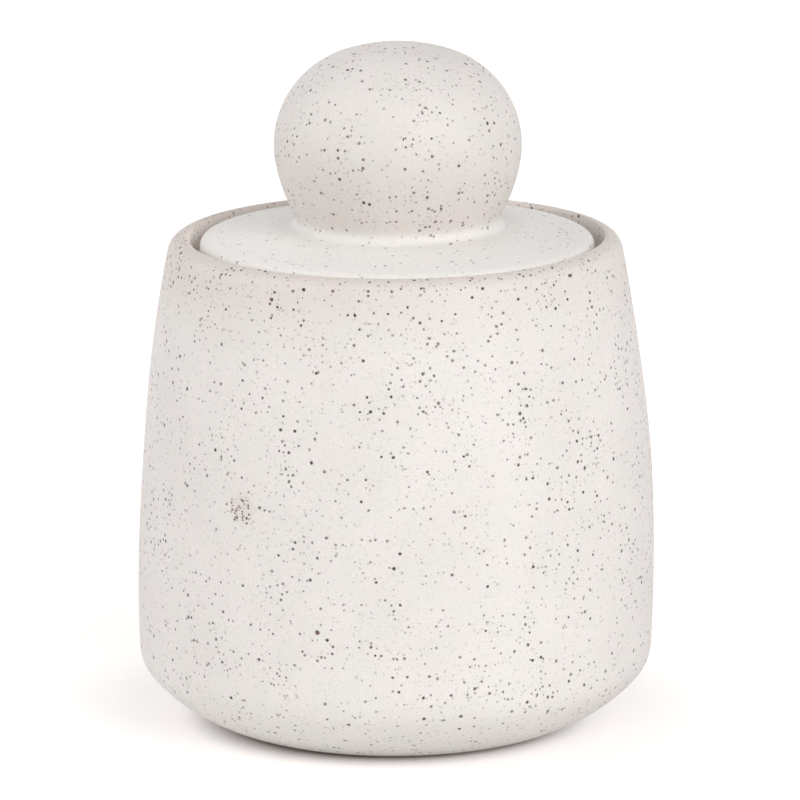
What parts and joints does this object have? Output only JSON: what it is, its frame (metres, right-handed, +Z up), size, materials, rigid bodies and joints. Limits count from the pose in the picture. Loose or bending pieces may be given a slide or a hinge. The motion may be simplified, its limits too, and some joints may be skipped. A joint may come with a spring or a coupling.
{
  "type": "lidded ceramic box",
  "caption": "Round stoneware storage jar in the manner of a Greek pyxis, with bowed sides, an inset domed lid that lifts off and a large hollow ball knob.",
  "frame": {"origin": "middle of the foot ring, on the plane the jar stands on", "axes": "+Z up along the turning axis; the jar is the same all round, and +X points to the right in the front view"},
  "size_m": [0.125, 0.125, 0.166],
  "materials": {
    "speckled_glaze": "satin-matt off-white glaze with fine iron speckle"
  },
  "bodies": {
    "jar": {"jar_body": "speckled_glaze"},
    "lid_with_knob": {"lid": "speckled_glaze", "ball_knob": "speckled_glaze"}
  },
  "joints": [
    {"name": "lid_lift", "type": "slide", "parent": "jar", "child": "lid_with_knob", "axis": [0, 0, 1], "range_m": [0, 0.12]}
  ]
}
